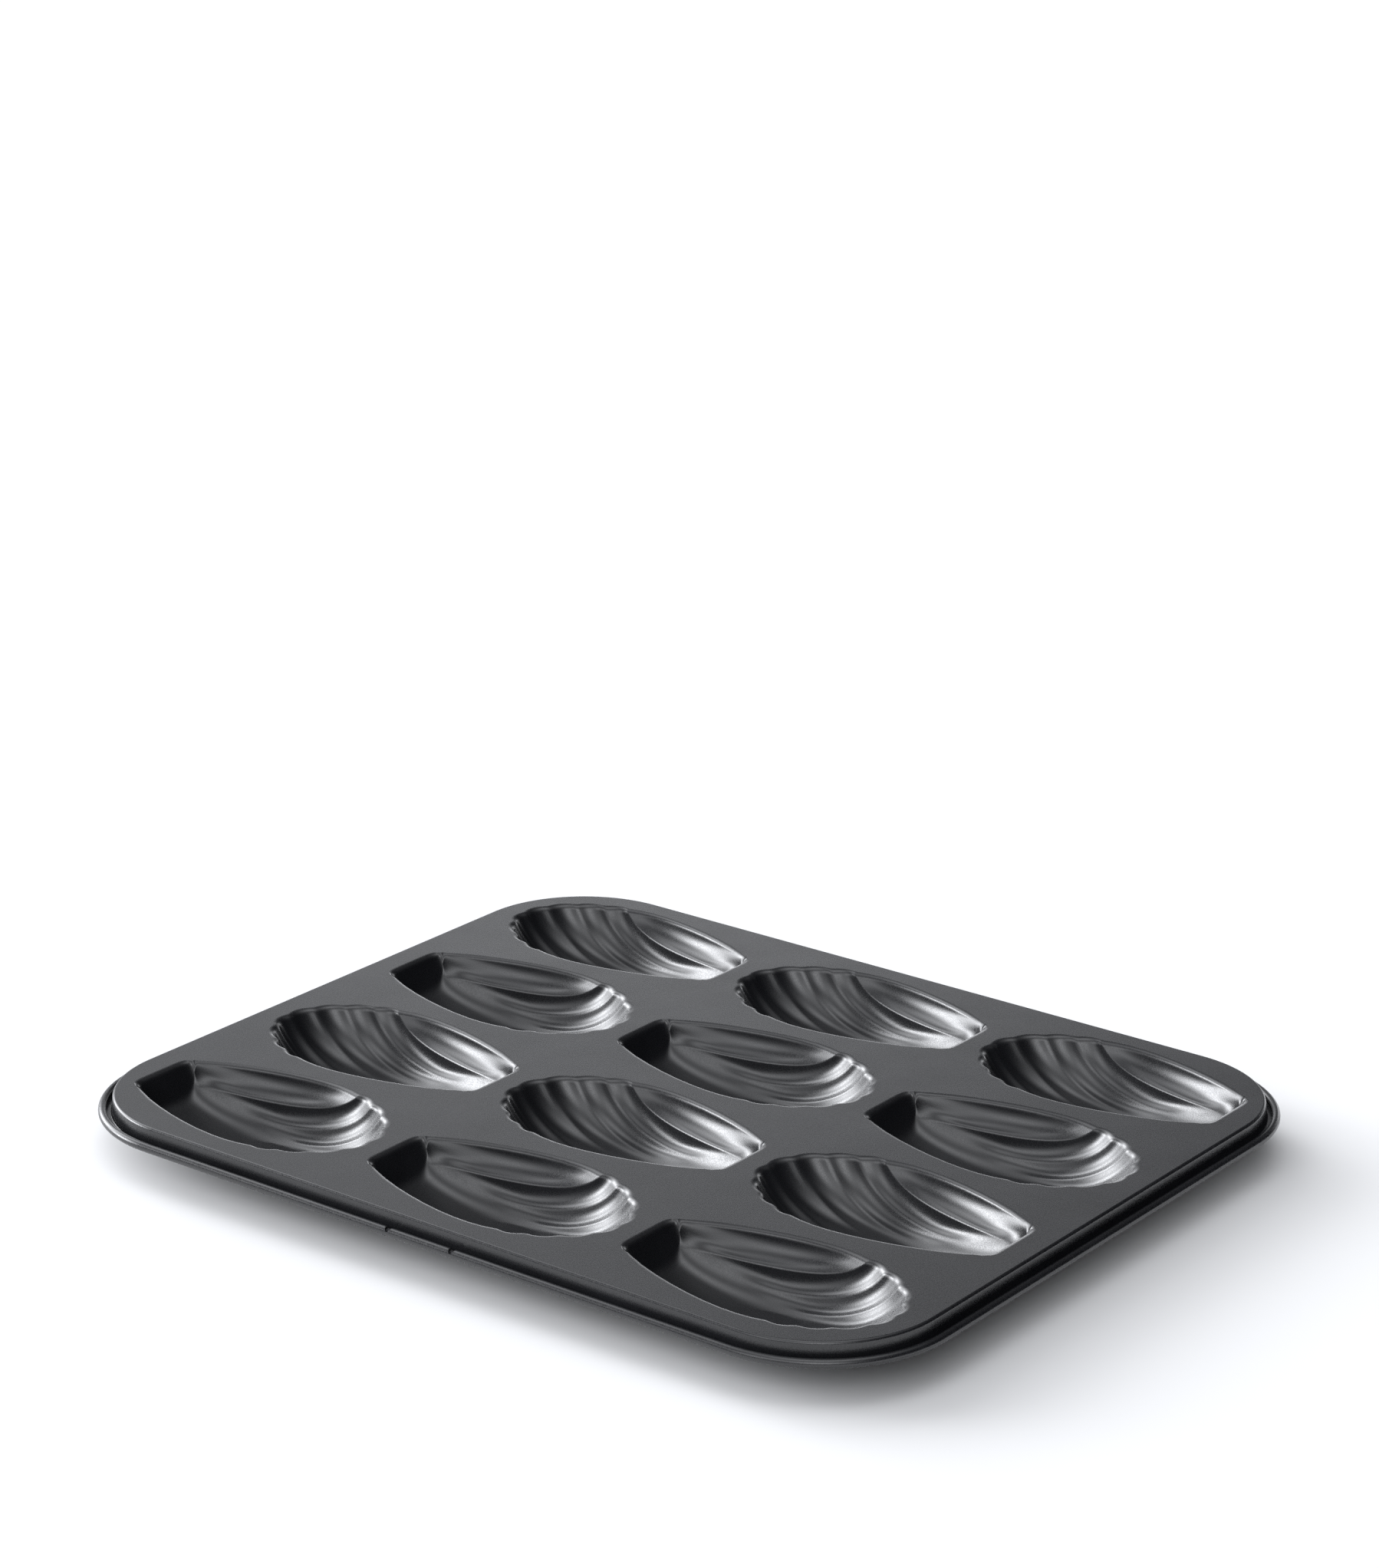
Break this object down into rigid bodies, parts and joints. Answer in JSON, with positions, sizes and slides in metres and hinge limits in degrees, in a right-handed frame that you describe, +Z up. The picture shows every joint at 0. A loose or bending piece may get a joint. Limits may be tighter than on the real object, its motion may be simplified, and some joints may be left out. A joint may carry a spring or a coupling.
{
  "type": "shell cake pan",
  "caption": "Rectangular steel baking pan with a grid of shallow fluted shell-shaped cavities, rounded corners, a turned-down skirt and a small edge rolled round a wire",
  "frame": {"origin": "middle of the pan, on the surface that the cavities stand on", "axes": "+X along the pan's longer side, in line with the cavities; +Y across it; +Z up, out of the open cavities"},
  "size_m": [0.2884, 0.2404, 0.0166],
  "materials": {
    "coated_sheet": "satin",
    "wire_steel": "satin"
  },
  "bodies": {
    "root": {"rolled_rim": "coated_sheet", "rim_wire": "wire_steel", "deck_a1": "coated_sheet", "deck_a2": "coated_sheet", "deck_a3": "coated_sheet", "deck_a4": "coated_sheet", "deck_b1": "coated_sheet", "deck_b2": "coated_sheet", "deck_b3": "coated_sheet", "deck_b4": "coated_sheet", "deck_c1": "coated_sheet", "deck_c2": "coated_sheet", "deck_c3": "coated_sheet", "deck_c4": "coated_sheet", "cup_a1": "coated_sheet", "cup_a2": "coated_sheet", "cup_a3": "coated_sheet", "cup_a4": "coated_sheet", "cup_b1": "coated_sheet", "cup_b2": "coated_sheet", "cup_b3": "coated_sheet", "cup_b4": "coated_sheet", "cup_c1": "coated_sheet", "cup_c2": "coated_sheet", "cup_c3": "coated_sheet", "cup_c4": "coated_sheet"}
  },
  "joints": []
}
